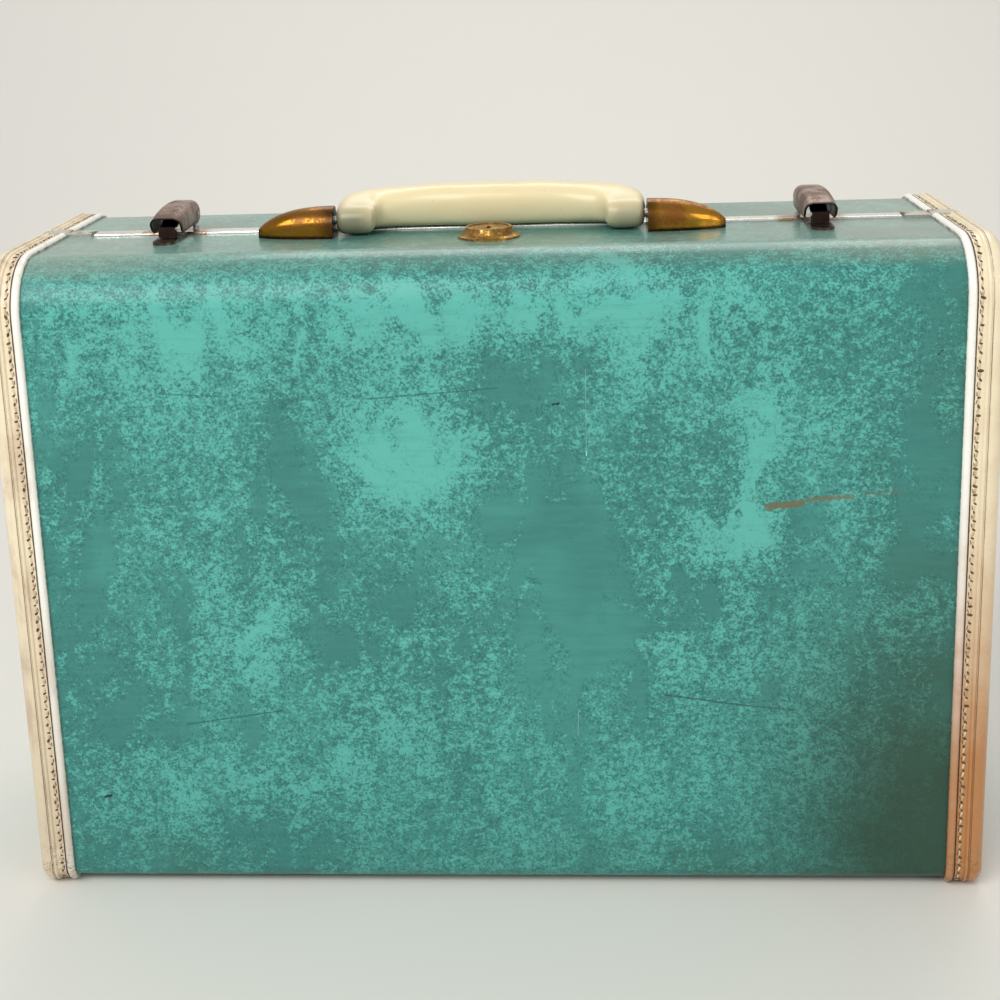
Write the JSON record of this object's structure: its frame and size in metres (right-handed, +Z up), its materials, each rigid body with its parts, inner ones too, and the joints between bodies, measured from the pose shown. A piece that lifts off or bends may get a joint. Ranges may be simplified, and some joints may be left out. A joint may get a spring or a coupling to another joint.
{
  "type": "suitcase",
  "caption": "Upright hard-shell suitcase in matching halves with bound ends, a folding top handle, a key lock and lever latches.",
  "frame": {"origin": "middle of the footprint, in the plane that the case stands on, on the seam between the halves", "axes": "+X along the case, -Y out of the front half that carries the handle and lock, +Y out of the lid, +Z up"},
  "size_m": [0.457, 0.17, 0.3317],
  "materials": {
    "teal_vinyl": "marbled teal vinyl covering, satin",
    "cream_binding": "aged cream vinyl binding, semi-gloss",
    "lining_cloth": "woven cloth",
    "pocket_cloth": "gathered satin cloth",
    "bright_strip": "bright strip with light tarnish",
    "nickel": "nickel plate, worn",
    "old_brass": "antique brass, pebbled",
    "cream_plastic": "glossy cream moulding",
    "pewter": "pewter brown plating, satin",
    "dark_spring": "dark spring steel",
    "plain_steel": "plain plated steel"
  },
  "bodies": {
    "body": {"body_shell": "teal_vinyl", "body_lining": "lining_cloth", "body_valance": "bright_strip", "binding_body_left": "cream_binding", "binding_body_right": "cream_binding", "welt_body_left": "cream_binding", "welt_body_right": "cream_binding", "body_corner_clips": "nickel", "hinge_leaf_body_left": "plain_steel", "hinge_leaf_body_right": "plain_steel", "hinge_pin_left": "plain_steel", "hinge_pin_right": "plain_steel", "hinge_rivets_body": "plain_steel", "handle_cover_left": "old_brass", "handle_cover_right": "old_brass", "handle_bracket_left": "plain_steel", "handle_bracket_right": "plain_steel", "handle_rivets": "plain_steel", "lock_bezel": "old_brass", "lock_case": "plain_steel", "latch_catch_left": "pewter", "latch_catch_right": "pewter", "latch_catch_rivets": "plain_steel"},
    "lid": {"lid_shell": "teal_vinyl", "lid_lining": "lining_cloth", "lid_valance": "bright_strip", "binding_lid_left": "cream_binding", "binding_lid_right": "cream_binding", "welt_lid_left": "cream_binding", "welt_lid_right": "cream_binding", "lid_corner_clips": "nickel", "hinge_leaf_lid_left": "plain_steel", "hinge_leaf_lid_right": "plain_steel", "hinge_rivets_lid": "plain_steel", "latch_base_left": "plain_steel", "latch_base_right": "plain_steel", "latch_pin_left": "plain_steel", "latch_pin_right": "plain_steel", "latch_base_rivets": "plain_steel", "lock_hasp": "plain_steel", "hasp_rivets": "plain_steel", "lid_pocket": "pocket_cloth"},
    "handle": {"handle_grip": "cream_plastic", "handle_core": "plain_steel", "handle_pin_left": "plain_steel", "handle_pin_right": "plain_steel"},
    "latch_left": {"latch_lever_left": "pewter", "latch_hook_left": "dark_spring"},
    "latch_right": {"latch_lever_right": "pewter", "latch_hook_right": "dark_spring"},
    "lock_rotor": {"lock_rotor": "old_brass"},
    "lock_bolt": {"lock_bolt": "plain_steel"}
  },
  "joints": [
    {"name": "lid_hinge", "type": "hinge", "parent": "body", "child": "lid", "pos_m": [0, 0, 0.0016], "axis": [-1, 0, 0], "range_deg": [0, 110]},
    {"name": "handle_pivot", "type": "hinge", "parent": "body", "child": "handle", "pos_m": [0, -0.0185, 0.3181], "axis": [1, 0, 0], "range_deg": [0, 120]},
    {"name": "latch_left_pivot", "type": "hinge", "parent": "lid", "child": "latch_left", "pos_m": [-0.1555, 0.012, 0.3187], "axis": [-1, 0, 0], "range_deg": [0, 95], "deforming": ["latch_hook_left"]},
    {"name": "latch_right_pivot", "type": "hinge", "parent": "lid", "child": "latch_right", "pos_m": [0.1555, 0.012, 0.3187], "axis": [-1, 0, 0], "range_deg": [0, 95], "deforming": ["latch_hook_right"]},
    {"name": "lock_turn", "type": "hinge", "parent": "body", "child": "lock_rotor", "pos_m": [0, -0.031, 0.31], "axis": [0, 0, -1], "range_deg": [0, 90]},
    {"name": "bolt_slide", "type": "slide", "parent": "body", "child": "lock_bolt", "axis": [1, 0, 0], "range_m": [0, 0.006]}
  ],
  "couplings": [
    {"joint": "lock_turn", "follows": "bolt_slide", "rad_per_m": 261.8}
  ]
}
